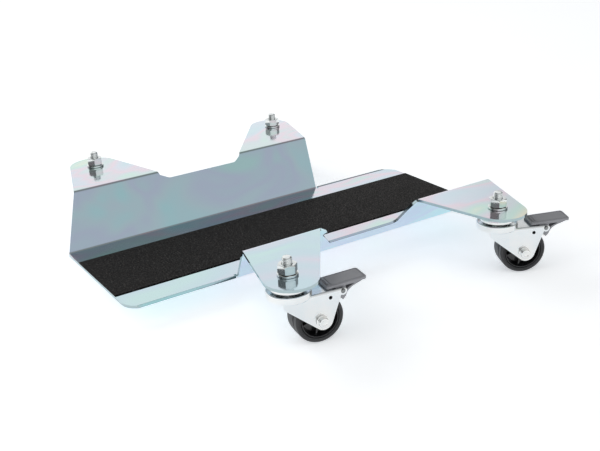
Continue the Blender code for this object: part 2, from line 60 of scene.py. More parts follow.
# The studio. CEILING is the world's glow by a direction's slope, its Y over its Z, and SIDE_WALLS is what
# it is multiplied by, by the direction's X.
FLOOR_REACH = 12
FLOOR_GLOW = 0.46
STRIP_REACH = 4
BACKDROP = (0.94, 0.95, 0.96, 1)
CEILING = (
    (-4, 0.95),
    (-1, 0.8),
    (-0.55, 0.62),
    (-0.1, 0.56),
    (0.1, 0.28),
    (0.9, 0.28),
    (1.5, 0.9),
    (4, 1.05),
)
SIDE_WALLS = ((-1, 0.36), (-0.75, 0.36), (-0.5, 1), (0.62, 1), (0.78, 0.55), (1, 0.55))

# Castor sizes that the frame's boxes don't give, in each castor's own frame: the origin is on the floor
# under the swivel axis and +X is the trail. PAD_UNDER is over the pedal's pivot.
CASTORS = ("front_left", "front_right", "rear_left", "rear_right")
BRAKED = ("front_left", "front_right")
BOLT_RADIUS = 5 * MM
BOLT_HEAD_RADIUS = 8 * MM
BOLT_HEAD_HEIGHT = 3.6 * MM
BOLT_RISE = 1.5 * MM
NUT_ACROSS = 17 * MM
THREAD_PITCH = 1.5 * MM
THREAD_DEPTH = 0.55 * MM
SHEET_BEVEL = 0.45 * MM
CHEEK_INNER = 13.2 * MM
CHEEK_OUTER = 15.4 * MM
CHEEK_LOBE = (28.4 * MM, 24.2 * MM, 9.4 * MM)
CHEEK_HOLE = (35.8 * MM, 46.9 * MM, 1.9 * MM)
CROWN_LOW = 51 * MM
CROWN_TOP = 53.2 * MM
CROWN_END = 39.5 * MM
HEAD_RADIUS = 21.8 * MM
HEAD_RIM = 58.6 * MM
RACE_RADIUS = 18.8 * MM
BALL_FLOOR = 55.5 * MM
FORK_FOLD = 2.4 * MM
EYE_RADIUS = 4 * MM
PIN_HOLE = 2.3 * MM
AXLE_HOLE = 3.3 * MM
CHEEK_FRONT = (-11 * MM, 44.5 * MM)
CHEEK_BACK = (46 * MM, 45 * MM)
FORK_REACH = 60 * MM
CUT_REACH = 20 * MM
RIVET_HOLE = 7.8 * MM
PAD_REACH = (34 * MM, 77 * MM)
PAD_HALF = 11.5 * MM
PAD_TILT = math.radians(3)
PAD_UNDER = 3.7 * MM
LEVER_HALF = 11 * MM
WHEEL_HALF = 12 * MM
SHOE_RADIUS = 27.4 * MM
SHOE_THICKNESS = 1 * MM
SHOE_HALF = 8 * MM
SHOE_ANGLES = (30, 56)
TOE_RADIUS = 28.7 * MM
PAD_THICKNESS = 2.2 * MM
STRUT_WEB = 1.6 * MM

# The pad's top, from its rim inwards: how far each ring lies inside the last, and how far it rises.
PAD_STEPS = (
    (1.1 * MM, 0.7 * MM),
    (0.5 * MM, 0),
    (0.25 * MM, -0.6 * MM),
    (0.4 * MM, 0),
    (0.5 * MM, 0.5 * MM),
)

# How far each lock nut is turned from having a corner on +X, in degrees.
NUT_TURNS = {"front_left": -15, "front_right": -4, "rear_left": 8, "rear_right": -20}


def castor_places():
    """Each castor's name with its placing matrix, its wheel's centre and its pedal's pivot."""
    joints = {joint["name"]: joint for joint in frame["joints"]}
    places = {}
    for name in CASTORS:
        swivel = Vector(joints[name + "_swivel_turn"]["pos_m"])
        axle = Vector(joints[name + "_wheel_spin"]["pos_m"])
        trail = (axle - swivel).to_2d()
        turn = math.atan2(trail.y, trail.x)
        place = Matrix.Translation((swivel.x, swivel.y, 0)) @ Matrix.Rotation(turn, 4, "Z")
        places[name] = (place, Vector((trail.length, 0, axle.z)))
    pedal = Vector(joints["front_left_pedal_press"]["pos_m"])
    swivel = Vector(joints["front_left_swivel_turn"]["pos_m"])
    pivot = Vector(((pedal - swivel).to_2d().length, 0, pedal.z))
    return places, pivot


PLACES, PIVOT = castor_places()
AXLE = PLACES["front_left"][1]


# --- Mesh helpers ------------------------------------------------------------


def arc(centre, radius, start, end, steps):
    turns = [math.radians(start + (end - start) * i / steps) for i in range(steps + 1)]
    return [(centre[0] + radius * math.cos(a), centre[1] + radius * math.sin(a)) for a in turns]


def rectangle(start, end, half):
    """Corners from start to end in X and half a width to each side in Y."""
    return [(start, -half), (end, -half), (end, half), (start, half)]


def rounded(corners, steps=8):
    """An outline through corners (x, y, radius), each one filleted to its radius."""
    points = []
    for i, (x, y, radius) in enumerate(corners):
        here = Vector((x, y))
        if radius == 0:
            points.append((x, y))
            continue
        before = (Vector(corners[i - 1][:2]) - here).normalized()
        after = (Vector(corners[(i + 1) % len(corners)][:2]) - here).normalized()
        half = before.angle(after) / 2
        centre = here + (before + after).normalized() * radius / math.sin(half)
        first = here + before * radius / math.tan(half) - centre
        last = here + after * radius / math.tan(half) - centre
        turn = first.angle_signed(last)
        for k in range(steps + 1):
            spoke = Matrix.Rotation(-turn * k / steps, 2) @ first
            points.append(tuple(centre + spoke))
    return points


def tangent_point(start, centre, radius, side):
    away = Vector(centre) - Vector(start)
    reach = math.sqrt(away.length_squared - radius**2)
    turn = side * math.asin(radius / away.length)
    return Vector(start) + (Matrix.Rotation(turn, 2) @ away).normalized() * reach


def prism(outline, low, high):
    bm = bmesh.new()
    face = bm.faces.new([bm.verts.new((x, y, low)) for x, y in outline])
    grown = bmesh.ops.extrude_face_region(bm, geom=[face])["geom"]
    top = [v for v in grown if isinstance(v, bmesh.types.BMVert)]
    bmesh.ops.translate(bm, verts=top, vec=(0, 0, high - low))
    bmesh.ops.recalc_face_normals(bm, faces=bm.faces)
    return bm


def side_prism(outline, low, high):
    """A prism over an outline in XZ, from low to high in Y."""
    bm = prism(outline, -high, -low)
    bmesh.ops.rotate(bm, verts=bm.verts, matrix=Matrix.Rotation(math.pi / 2, 3, "X"))
    return bm


def end_prism(outline, low, high):
    """A prism over an outline in YZ, from low to high in X."""
    bm = prism(outline, low, high)
    turn = Matrix(((0, 0, 1), (1, 0, 0), (0, 1, 0)))
    bmesh.ops.transform(bm, matrix=turn.to_4x4(), verts=bm.verts)
    bmesh.ops.recalc_face_normals(bm, faces=bm.faces)
    return bm


def turned(profile, steps=64, axis="Z"):
    """A solid of revolution from (radius, height) points."""
    bm = bmesh.new()
    verts = [bm.verts.new((r, 0, z)) for r, z in profile]
    edges = [bm.edges.new(pair) for pair in zip(verts, verts[1:])]
    if profile[0][0] > 0:
        edges.append(bm.edges.new((verts[-1], verts[0])))
    whole = {"angle": 2 * math.pi, "steps": steps, "axis": (0, 0, 1), "use_merge": True}
    bmesh.ops.spin(bm, geom=verts + edges, cent=(0, 0, 0), **whole)
    bmesh.ops.remove_doubles(bm, verts=bm.verts, dist=0.001 * MM)
    bmesh.ops.recalc_face_normals(bm, faces=bm.faces)
    if axis == "Y":
        bmesh.ops.rotate(bm, verts=bm.verts, matrix=Matrix.Rotation(math.pi / 2, 3, "X"))
    return bm


def rod(radius, low, high, steps=48, axis="Z"):
    return turned([(0, low), (radius, low), (radius, high), (0, high)], steps, axis)


def moved(bm, x=0, y=0, z=0):
    bmesh.ops.translate(bm, verts=bm.verts, vec=(x, y, z))
    return bm


def mesh_of(bm, name, smooth=35):
    mesh = bpy.data.meshes.new(name)
    bm.to_mesh(mesh)
    bm.free()
    mesh.shade_smooth()
    mesh.set_sharp_from_angle(angle=math.radians(smooth))
    return mesh


def solid(name, base, joined=(), kept=(), cut=()):
    """One mesh from a base with shapes joined to it, then kept inside others, then cut by others."""
    whole = bpy.data.objects.new(name, mesh_of(base, name))
    bpy.context.scene.collection.objects.link(whole)
    helpers = []
    for kind, shapes in (("INTERSECT", kept), ("UNION", joined), ("DIFFERENCE", cut)):
        for shape in shapes:
            helper = bpy.data.objects.new(name + "_helper", mesh_of(shape, name + "_helper"))
            bpy.context.scene.collection.objects.link(helper)
            step = whole.modifiers.new(kind.title(), "BOOLEAN")
            step.operation = kind
            step.object = helper
            helpers.append(helper)
    bpy.context.view_layer.update()
    graph = bpy.context.evaluated_depsgraph_get()
    mesh = bpy.data.meshes.new_from_object(whole.evaluated_get(graph))
    for used in [whole, *helpers]:
        bpy.data.objects.remove(used)
    mesh.name = name
    mesh.shade_smooth()
    mesh.set_sharp_from_angle(angle=math.radians(35))
    return mesh


def soften(obj, width):
    """Round off the edges of a mesh whose flat faces may be split into triangles."""
    weld = obj.modifiers.new("Weld", "WELD")
    weld.merge_threshold = 0.002 * MM
    flat = obj.modifiers.new("Flat", "DECIMATE")
    flat.decimate_type = "DISSOLVE"
    flat.angle_limit = math.radians(1)
    bevel = obj.modifiers.new("Bevel", "BEVEL")
    bevel.width = width
    bevel.segments = 2
    bevel.limit_method = "ANGLE"
    bevel.angle_limit = math.radians(38)
    bevel.harden_normals = True
    weigh = obj.modifiers.new("Weigh", "WEIGHTED_NORMAL")
    weigh.weight = 100
    weigh.keep_sharp = True


def piece(name, mesh, place, finish, body, nodes):
    """A detailed piece that stands for CAD nodes, in place and riding on their body."""
    obj = bpy.data.objects.new(name, mesh)
    bpy.context.scene.collection.objects.link(obj)
    if not mesh.materials:
        mesh.materials.append(finish)
    obj.matrix_world = place
    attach(obj, body)
    if nodes:
        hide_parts(*nodes)
    return obj


# --- Materials ---------------------------------------------------------------


class Nodes:
    """A material's node tree, with short calls for the nodes that this file uses."""

    def __init__(self, name):
        self.material = bpy.data.materials.new(name)
        self.material.use_nodes = True
        self.tree = self.material.node_tree
        self.shader = self.tree.nodes["Principled BSDF"]
        self.place = self.add("ShaderNodeTexCoord").outputs["Object"]

    def add(self, kind, **settings):
        node = self.tree.nodes.new(kind)
        for key, value in settings.items():
            setattr(node, key, value)
        return node

    def link(self, source, target):
        self.tree.links.new(source, target)

    def stretched(self, scale):
        mapping = self.add("ShaderNodeMapping")
        mapping.inputs["Scale"].default_value = scale
        self.link(self.place, mapping.inputs["Vector"])
        return mapping.outputs["Vector"]

    def noise(self, scale, detail=2, place=None, distortion=0):
        noise = self.add("ShaderNodeTexNoise")
        noise.inputs["Scale"].default_value = scale
        noise.inputs["Detail"].default_value = detail
        noise.inputs["Distortion"].default_value = distortion
        self.link(place or self.place, noise.inputs["Vector"])
        return noise.outputs["Fac"]

    def ramp(self, value, stops):
        ramp = self.add("ShaderNodeValToRGB")
        elements = ramp.color_ramp.elements
        while len(elements) < len(stops):
            elements.new(0.5)
        for element, (at, colour) in zip(elements, stops):
            element.position = at
            element.color = (*colour, 1)
        self.link(value, ramp.inputs["Fac"])
        return ramp.outputs["Color"]

    def spread(self, value, low, high, start=0.3, end=0.7):
        """The value between start and end, moved to between low and high."""
        spread = self.add("ShaderNodeMapRange")
        for key, number in (("From Min", start), ("From Max", end), ("To Min", low), ("To Max", high)):
            spread.inputs[key].default_value = number
        self.link(value, spread.inputs["Value"])
        return spread.outputs["Result"]

    def bump(self, height, strength, distance, under=None):
        bump = self.add("ShaderNodeBump")
        bump.inputs["Strength"].default_value = strength
        bump.inputs["Distance"].default_value = distance
        self.link(height, bump.inputs["Height"])
        if under:
            self.link(under, bump.inputs["Normal"])
        return bump.outputs["Normal"]

    def finish(self, colour=None, roughness=None, normal=None, **fixed):
        """Link what varies over the surface and set what doesn't, then give the material."""
        for key, source in (("Base Color", colour), ("Roughness", roughness), ("Normal", normal)):
            if source:
                self.link(source, self.shader.inputs[key])
        for key, value in fixed.items():
            self.shader.inputs[key.replace("_", " ")].default_value = value
        return self.material


def zinc_sheet():
    """Bright zinc plate: level faces drift from pink to mint; sloping faces get a darker grey-blue to
    cyan copy of the drift and faces near upright a dark grey, both painted shade.
    """
    look = Nodes("zinc_sheet")
    drift = look.noise(8.5, 2, look.stretched((0.8, 1.2, 1.0)), 0.9)
    level = look.ramp(drift, [
        (0.30, (0.60, 0.80, 0.80)),
        (0.41, (0.60, 0.75, 0.82)),
        (0.49, (0.68, 0.73, 0.82)),
        (0.54, (0.78, 0.68, 0.76)),
        (0.59, (0.66, 0.74, 0.78)),
        (0.66, (0.60, 0.80, 0.74)),
        (0.76, (0.82, 0.82, 0.68)),
    ])
    # Painted shade: a darker, bluer copy of the drift for sloping faces, standing in for how they reflect
    # the floor.
    slant_shade = look.ramp(drift, [
        (0.30, (0.42, 0.74, 0.78)),
        (0.42, (0.48, 0.74, 0.80)),
        (0.52, (0.54, 0.70, 0.78)),
        (0.60, (0.55, 0.64, 0.79)),
        (0.72, (0.50, 0.74, 0.76)),
    ])
    facing = look.add("ShaderNodeSeparateXYZ")
    look.link(look.add("ShaderNodeNewGeometry").outputs["True Normal"], facing.inputs["Vector"])
    upright = look.add("ShaderNodeMath", operation="ABSOLUTE")
    look.link(facing.outputs["Z"], upright.inputs[0])
    mix = look.add("ShaderNodeMix", data_type="RGBA")
    look.link(look.spread(upright.outputs["Value"], 0, 1, 0.75, 0.97), mix.inputs["Factor"])
    # Painted shade: faces standing near upright, the sheet's cut edges among them, are painted dark grey.
    cut = look.add("ShaderNodeMix", data_type="RGBA")
    cut.inputs["A"].default_value = (0.40, 0.50, 0.52, 1)
    look.link(look.spread(upright.outputs["Value"], 0, 1, 0.2, 0.6), cut.inputs["Factor"])
    look.link(slant_shade, cut.inputs["B"])
    look.link(cut.outputs["Result"], mix.inputs["A"])
    look.link(level, mix.inputs["B"])
    roughness = look.spread(look.noise(55, 3), 0.07, 0.13)
    rolled = look.noise(900, 2, look.stretched((0.05, 1, 1)))
    normal = look.bump(rolled, 0.04, 0.05 * MM, look.bump(look.noise(9, 1), 0.15, 0.6 * MM))
    return look.finish(mix.outputs["Result"], roughness, normal, Metallic=1.0)


def bright_zinc():
    look = Nodes("bright_zinc")
    colour = look.ramp(look.noise(30, 2), [(0.35, (0.76, 0.80, 0.82)), (0.65, (0.86, 0.86, 0.84))])
    roughness = look.spread(look.noise(160, 3), 0.16, 0.26)
    normal = look.bump(look.noise(700, 2), 0.08, 0.05 * MM)
    return look.finish(colour, roughness, normal, Metallic=1.0)


def bolt_steel():
    look = Nodes("bolt_steel")
    colour = look.ramp(look.noise(80, 2), [(0.35, (0.70, 0.74, 0.75)), (0.65, (0.84, 0.86, 0.84))])
    roughness = look.spread(look.noise(240, 2), 0.06, 0.13)
    normal = look.bump(look.noise(500, 2), 0.05, 0.03 * MM)
    return look.finish(colour, roughness, normal, Metallic=1.0)


def worn_steel():
    """The pedal pins' duller ends."""
    look = Nodes("worn_steel")
    colour = look.ramp(look.noise(200, 2), [(0.35, (0.22, 0.23, 0.23)), (0.65, (0.32, 0.33, 0.33))])
    return look.finish(colour, look.spread(look.noise(300, 2), 0.3, 0.45), Metallic=1.0)


def grit():
    """Mineral grit set in black: sharp grains that catch the light here and there."""
    look = Nodes("grit")
    cells = look.add("ShaderNodeTexVoronoi", feature="F1")
    cells.inputs["Scale"].default_value = 1100
    look.link(look.place, cells.inputs["Vector"])
    fleck = look.noise(620, 3)
    colour = look.ramp(fleck, [
        (0.42, (0.007, 0.0066, 0.0066)),
        (0.58, (0.017, 0.016, 0.0155)),
        (0.72, (0.11, 0.10, 0.095)),
    ])
    roughness = look.spread(look.noise(600, 2), 0.55, 0.95)
    normal = look.bump(cells.outputs["Distance"], 0.9, 0.35 * MM)
    return look.finish(colour, roughness, normal, Specular_IOR_Level=0.22)


def tread_rubber():
    look = Nodes("tread_rubber")
    colour = look.ramp(look.noise(40, 3), [(0.3, (0.017, 0.0175, 0.019)), (0.7, (0.028, 0.0285, 0.031))])
    roughness = look.spread(look.noise(120, 3), 0.34, 0.48)
    normal = look.bump(look.noise(900, 2), 0.12, 0.05 * MM)
    return look.finish(colour, roughness, normal)


def hub_plastic():
    look = Nodes("hub_plastic")
    colour = look.ramp(look.noise(60, 2), [(0.3, (0.006, 0.006, 0.007)), (0.7, (0.012, 0.012, 0.013))])
    roughness = look.spread(look.noise(90, 2), 0.16, 0.28)
    normal = look.bump(look.noise(400, 2), 0.08, 0.05 * MM)
    return look.finish(colour, roughness, normal, Coat_Weight=0.3, Coat_Roughness=0.12)


def pedal_plastic():
    look = Nodes("pedal_plastic")
    colour = look.ramp(look.noise(25, 3), [(0.3, (0.24, 0.245, 0.265)), (0.7, (0.29, 0.295, 0.315))])
    roughness = look.spread(look.noise(80, 2), 0.42, 0.55)
    normal = look.bump(look.noise(1100, 2), 0.25, 0.06 * MM)
    return look.finish(colour, roughness, normal)


# --- Pieces of a castor ------------------------------------------------------


def thread_mesh(radius, low, high):
    """A cut thread: a rod whose surface dips once a pitch, the dip climbing as it goes round."""
    sides = 40
    rows = int((high - low) / (THREAD_PITCH / 6))
    bm = bmesh.new()
    rings = []
    for j in range(rows + 1):
        z = low + (high - low) * j / rows
        fade = min(1, (high - z) / (1.2 * MM))
        ring = []
        for i in range(sides):
            phase = (z / THREAD_PITCH - i / sides) % 1
            cut = abs(2 * phase - 1)
            r = radius - THREAD_DEPTH * cut - 0.9 * MM * (1 - fade)
            a = 2 * math.pi * i / sides
            ring.append(bm.verts.new((r * math.cos(a), r * math.sin(a), z)))
        rings.append(ring)
    for lower, upper in zip(rings, rings[1:]):
        for i in range(sides):
            k = (i + 1) % sides
            bm.faces.new((lower[i], lower[k], upper[k], upper[i]))
    bm.faces.new(rings[-1])
    bm.faces.new(rings[0][::-1])
    return bm


def bolt_meshes(low, high, seat):
    """The bolt's threaded end above its seat, and its low round head with the plain shank below."""
    thread = mesh_of(thread_mesh(BOLT_RADIUS, seat, high), "bolt_thread", 80)
    round_off = 1.8 * MM
    head = [
        (0, low),
        (BOLT_HEAD_RADIUS - 2 * MM, low),
        *arc((BOLT_HEAD_RADIUS - round_off, low + round_off), round_off, -90, 0, 6),
        (BOLT_HEAD_RADIUS, low + BOLT_HEAD_HEIGHT),
        (BOLT_RADIUS, low + BOLT_HEAD_HEIGHT),
        (BOLT_RADIUS, seat),
        (0, seat),
    ]
    return thread, mesh_of(turned(head, 48), "bolt_head")


def hex_parts(across, low, high, chamfer, bore):
    """A hexagon, the shape that turns off its corners at both ends, and its countersunk bore."""
    reach = across / math.sqrt(3)
    flat = across / 2 * 0.97
    body = prism(arc((0, 0), reach, 0, 300, 5), low, high)
    drop = (reach - flat) * math.tan(math.radians(30))
    spare = 0.1 * MM
    limit = [
        (0, low - MM),
        (flat, low),
        (reach + spare, low + drop + spare / 2),
        (reach + spare, high - drop - spare / 2),
        (flat, high),
        (0, high + MM),
    ]
    hole = [
        (0, low - MM),
        (bore, low - MM),
        (bore, high - chamfer),
        (bore + chamfer * 2, high + chamfer),
        (0, high + chamfer),
    ]
    return body, turned(limit, 72), turned(hole, 40)


def top_race_mesh(low, high):
    """A pressed cup: flat where it meets the ear, with a stepped skirt that runs on the balls."""
    profile = [
        (5.4 * MM, high - 3.7 * MM),
        (10.5 * MM, high - 3.7 * MM),
        (11.5 * MM, low),
        (RACE_RADIUS - 0.6 * MM, low),
        *arc((RACE_RADIUS - 0.6 * MM, low + 0.6 * MM), 0.6 * MM, -70, 0, 4),
        (RACE_RADIUS, low + 2.6 * MM),
        (RACE_RADIUS - 0.9 * MM, low + 3.4 * MM),
        (RACE_RADIUS - 0.9 * MM, high - 3.2 * MM),
        *arc((RACE_RADIUS - 3.6 * MM, high - 2.8 * MM), 2.8 * MM, 5, 84, 8),
        (5.4 * MM, high),
    ]
    return mesh_of(turned(profile, 72), "top_race")


def cheek_outline(braked):
    centre = CHEEK_LOBE[:2]
    lobe = CHEEK_LOBE[2]
    low_front = tangent_point(CHEEK_FRONT, centre, lobe, -1) - Vector(centre)
    low_back = tangent_point(CHEEK_BACK, centre, lobe, 1) - Vector(centre)
    start = math.degrees(math.atan2(low_front.y, low_front.x)) % 360
    end = math.degrees(math.atan2(low_back.y, low_back.x)) % 360
    outline = [(-12.5 * MM, CROWN_TOP), (-12 * MM, 47 * MM), CHEEK_FRONT]
    outline += arc(centre, lobe, start, end if end > start else end + 360, 24)
    if braked:
        outline += arc((PIVOT.x, PIVOT.z), EYE_RADIUS, -125, 100, 18)
        outline.append((CROWN_END, CROWN_TOP))
    else:
        outline += [CHEEK_BACK, (CHEEK_BACK[0], CROWN_TOP)]
    return outline


def channel_outline():
    """The fork's section across its cheeks: an upside-down U, folded round at its top corners."""
    low = 10 * MM
    crease = 0.5 * MM
    outer = [(-CHEEK_OUTER, low, 0), (-CHEEK_OUTER, CROWN_TOP, FORK_FOLD)]
    outer += [(CHEEK_OUTER, CROWN_TOP, FORK_FOLD), (CHEEK_OUTER, low, 0)]
    inner = [(CHEEK_INNER, low, 0), (CHEEK_INNER, CROWN_LOW, crease)]
    inner += [(-CHEEK_INNER, CROWN_LOW, crease), (-CHEEK_INNER, low, 0)]
    return rounded(outer + inner, 8)


def fork_head():
    """The round cup on the crown: a rolled lower corner, a wall and a rim round the balls' floor."""
    corner = 1.8 * MM
    rim = 0.6 * MM
    return turned([
        (0, CROWN_LOW),
        (HEAD_RADIUS - corner, CROWN_LOW),
        *arc((HEAD_RADIUS - corner, CROWN_LOW + corner), corner, -80, 0, 6),
        (HEAD_RADIUS, HEAD_RIM - 0.5 * MM),
        *arc((HEAD_RADIUS - 0.75 * MM, HEAD_RIM - rim), rim, 10, 170, 6),
        (HEAD_RADIUS - 1.5 * MM, HEAD_RIM - 1 * MM),
        (HEAD_RADIUS - 2 * MM, BALL_FLOOR),
        (0, BALL_FLOOR),
    ], 72)


def fork_mesh(name, braked):
    """A pressed fork: a folded channel trimmed to the cheeks' outline, with a round head on top."""
    channel = end_prism(channel_outline(), -CUT_REACH, FORK_REACH)
    shape = side_prism(cheek_outline(braked), -CUT_REACH, CUT_REACH)
    cuts = [rod(RIVET_HOLE, CROWN_LOW - CUT_REACH, CROWN_LOW + CUT_REACH)]
    slot = rectangle(CROWN_END, FORK_REACH, CHEEK_INNER)
    cuts.append(prism(slot, CROWN_LOW - CUT_REACH, CROWN_LOW + CUT_REACH))
    holes = [(AXLE.x, AXLE.z, AXLE_HOLE), CHEEK_HOLE]
    if braked:
        holes.append((PIVOT.x, PIVOT.z, PIN_HOLE))
    for x, z, radius in holes:
        cuts.append(moved(rod(radius, -CUT_REACH, CUT_REACH, 32, "Y"), x, 0, z))
    return solid(name, channel, joined=[fork_head()], kept=[shape], cut=cuts)


def tyre_mesh(radius, half):
    """A tread ring split by a deep groove, with fine mould lines and a thick lip down each side."""
    inner = 19.8 * MM
    groove_low, groove_high = 3.2 * MM, 4.6 * MM
    depth = 1.9 * MM

    def crown(low, high, steps):
        points = []
        for k in range(steps + 1):
            y = low + (high - low) * k / steps
            line = 0.1 * MM if k % 2 and 1 < k < steps - 1 else 0
            points.append((radius - line - 0.3 * MM * (y / half) ** 2, y))
        return points

    edge = half - 2.3 * MM
    tread = crown(-edge, groove_low - 0.3 * MM, 20)
    tread += [(radius - 0.3 * MM, groove_low), (radius - depth, groove_low + 0.1 * MM)]
    tread += [(radius - depth, groove_high - 0.1 * MM), (radius - 0.3 * MM, groove_high)]
    tread += crown(groove_high + 0.3 * MM, edge, 8)
    shoulder = arc((radius - 2.2 * MM, edge), 2 * MM, 16, 88, 8)
    lip = [
        (22.2 * MM, half - 0.3 * MM),
        (21.6 * MM, half - 0.75 * MM),
        (21.2 * MM, half - 0.3 * MM),
        (20.6 * MM, half - 0.2 * MM),
        (20.2 * MM, half - 0.7 * MM),
        (inner, half - 1.4 * MM),
    ]
    side = shoulder + lip
    profile = [(r, -y) for r, y in side][::-1] + tread + side
    return mesh_of(turned(profile, 96, "Y"), "tyre", 40)


def hub_mesh(half):
    """The wheel's centre: a deep polished recess each side, six ribs and a boss."""
    bore = 4.5 * MM
    side = [
        (19.5 * MM, half - 1 * MM),
        *arc((18.9 * MM, half - 1.2 * MM), 0.6 * MM, 30, 150, 5),
        (17.6 * MM, half - 2.4 * MM),
        (16.7 * MM, 3.4 * MM),
        *arc((15.7 * MM, 3.4 * MM), 1 * MM, 0, -80, 4),
        (9.6 * MM, 2.3 * MM),
        (8.6 * MM, 3 * MM),
        (8 * MM, half + 0.4 * MM),
        (7.6 * MM, half + 0.8 * MM),
        (bore, half + 0.8 * MM),
    ]
    profile = [(r, -y) for r, y in side] + side[::-1]
    ribs = []
    reach = 17.1 * MM
    for k in range(3):
        rib = prism(rectangle(-reach, reach, 0.8 * MM), -half + 4.5 * MM, half - 4.5 * MM)
        bmesh.ops.rotate(rib, verts=rib.verts, matrix=Matrix.Rotation(math.radians(60 * k + 20), 3, "Z"))
        bmesh.ops.rotate(rib, verts=rib.verts, matrix=Matrix.Rotation(math.pi / 2, 3, "X"))
        ribs.append(rib)
    hole = rod(bore + 0.3 * MM, -2 * half, 2 * half, 48, "Y")
    return solid("hub", turned(profile, 96, "Y"), joined=ribs, cut=[hole])


def axle_bolt_mesh():
    """A flanged round head with a dimple, and a plain shank."""
    seat = -CHEEK_OUTER - 0.3 * MM
    dome = turned([
        (0, 0),
        (6 * MM, 0),
        (6 * MM, 1.2 * MM),
        (5.3 * MM, 1.6 * MM),
        (5.2 * MM, 4.4 * MM),
        *arc((4 * MM, 4.6 * MM), 1.2 * MM, 0, 80, 6),
        (3.2 * MM, 5.8 * MM),
        (2.4 * MM, 5.2 * MM),
        (0, 5 * MM),
    ], 48)
    bmesh.ops.rotate(dome, verts=dome.verts, matrix=Matrix.Rotation(math.pi / 2, 3, "X"))
    moved(dome, 0, seat, 0)
    shank = rod(3 * MM, seat - 1 * MM, CHEEK_OUTER + 6.5 * MM, 32, "Z")
    bmesh.ops.rotate(shank, verts=shank.verts, matrix=Matrix.Rotation(-math.pi / 2, 3, "X"))
    return solid("axle_bolt", dome, joined=[shank])


def pad_shapes():
    """The pad, level: bevelled round its top, a groove round the panel and two step bars at the front."""
    start, end = PAD_REACH[0] - PIVOT.x, PAD_REACH[1] - PIVOT.x
    top = PAD_UNDER + PAD_THICKNESS
    fillets = (2 * MM, 3.2 * MM, 3.2 * MM, 2 * MM)
    corners = [(x, y, fillet) for (x, y), fillet in zip(rectangle(start, end, PAD_HALF), fillets)]
    pad = prism(rounded(corners, 6), PAD_UNDER, top)
    for inset, rise in PAD_STEPS:
        middle = [f for f in pad.faces if f.normal.z > 0.9 and f.calc_area() > 300 * MM**2]
        bmesh.ops.inset_region(pad, faces=middle, thickness=inset)
        raised = {v for f in middle for v in f.verts}
        bmesh.ops.translate(pad, verts=list(raised), vec=(0, 0, rise))
    bars = []
    for inward in (3.6 * MM, 6.2 * MM):
        bar = rectangle(start + inward, start + inward + 1.1 * MM, 8.2 * MM)
        bars.append(prism(bar, top - 0.6 * MM, top + 1.15 * MM))
    return pad, bars


def strut_outline():
    """The strut from the side: down from the pad's underside, round the pivot and along the shoe."""
    wheel = (AXLE.x - PIVOT.x, AXLE.z - PIVOT.z)
    outline = [(-6 * MM, PAD_UNDER + 1 * MM)]
    outline += arc(wheel, TOE_RADIUS, 52, 30, 8)
    outline += [(4.6 * MM, -8.2 * MM), (5.8 * MM, -5 * MM), (8.2 * MM, -2 * MM), (11.4 * MM, 0.3 * MM)]
    outline += [(15.5 * MM, 2 * MM), (20 * MM, PAD_UNDER - 0.2 * MM), (25 * MM, PAD_UNDER + 2 * MM)]
    return outline


def pedal_mesh():
    """The pedal about its pivot: a tilted pad on a strut with a pocket each side of its web."""
    pad, bars = pad_shapes()
    tilt = Matrix.Rotation(-PAD_TILT, 3, "Y")
    for shape in [pad, *bars]:
        bmesh.ops.rotate(shape, verts=shape.verts, matrix=tilt)
    pocket = rounded([
        (4.7 * MM, -3.4 * MM, 0.4 * MM),
        (7.6 * MM, 0.2 * MM, 2 * MM),
        (15.5 * MM, PAD_UNDER - 0.1 * MM, 0.5 * MM),
        (4.7 * MM, PAD_UNDER - 0.6 * MM, 0.5 * MM),
    ], 4)
    cuts = [rod(PIN_HOLE, -CUT_REACH, CUT_REACH, 32, "Y")]
    for low, high in ((-CUT_REACH, -STRUT_WEB), (STRUT_WEB, CUT_REACH)):
        cuts.append(side_prism(pocket, low, high))
    strut = side_prism(strut_outline(), -LEVER_HALF, LEVER_HALF)
    return solid("pedal", pad, joined=[strut, *bars], cut=cuts)


def shoe_mesh():
    """A thin leaf curved over the tread."""
    centre = (AXLE.x - PIVOT.x, AXLE.z - PIVOT.z)
    start, end = SHOE_ANGLES
    outline = arc(centre, SHOE_RADIUS, start, end, 16)
    outline += arc(centre, SHOE_RADIUS + SHOE_THICKNESS, end, start, 16)
    return mesh_of(side_prism(outline, -SHOE_HALF, SHOE_HALF), "shoe")


# --- Putting it together -----------------------------------------------------


def dress_node(name, finish, bevel=0):
    node = frame["nodes"][name]
    node.data.materials.clear()
    node.data.materials.append(finish)
    node.data.shade_smooth()
    node.data.set_sharp_from_angle(angle=math.radians(35))
    if bevel:
        soften(node, bevel)


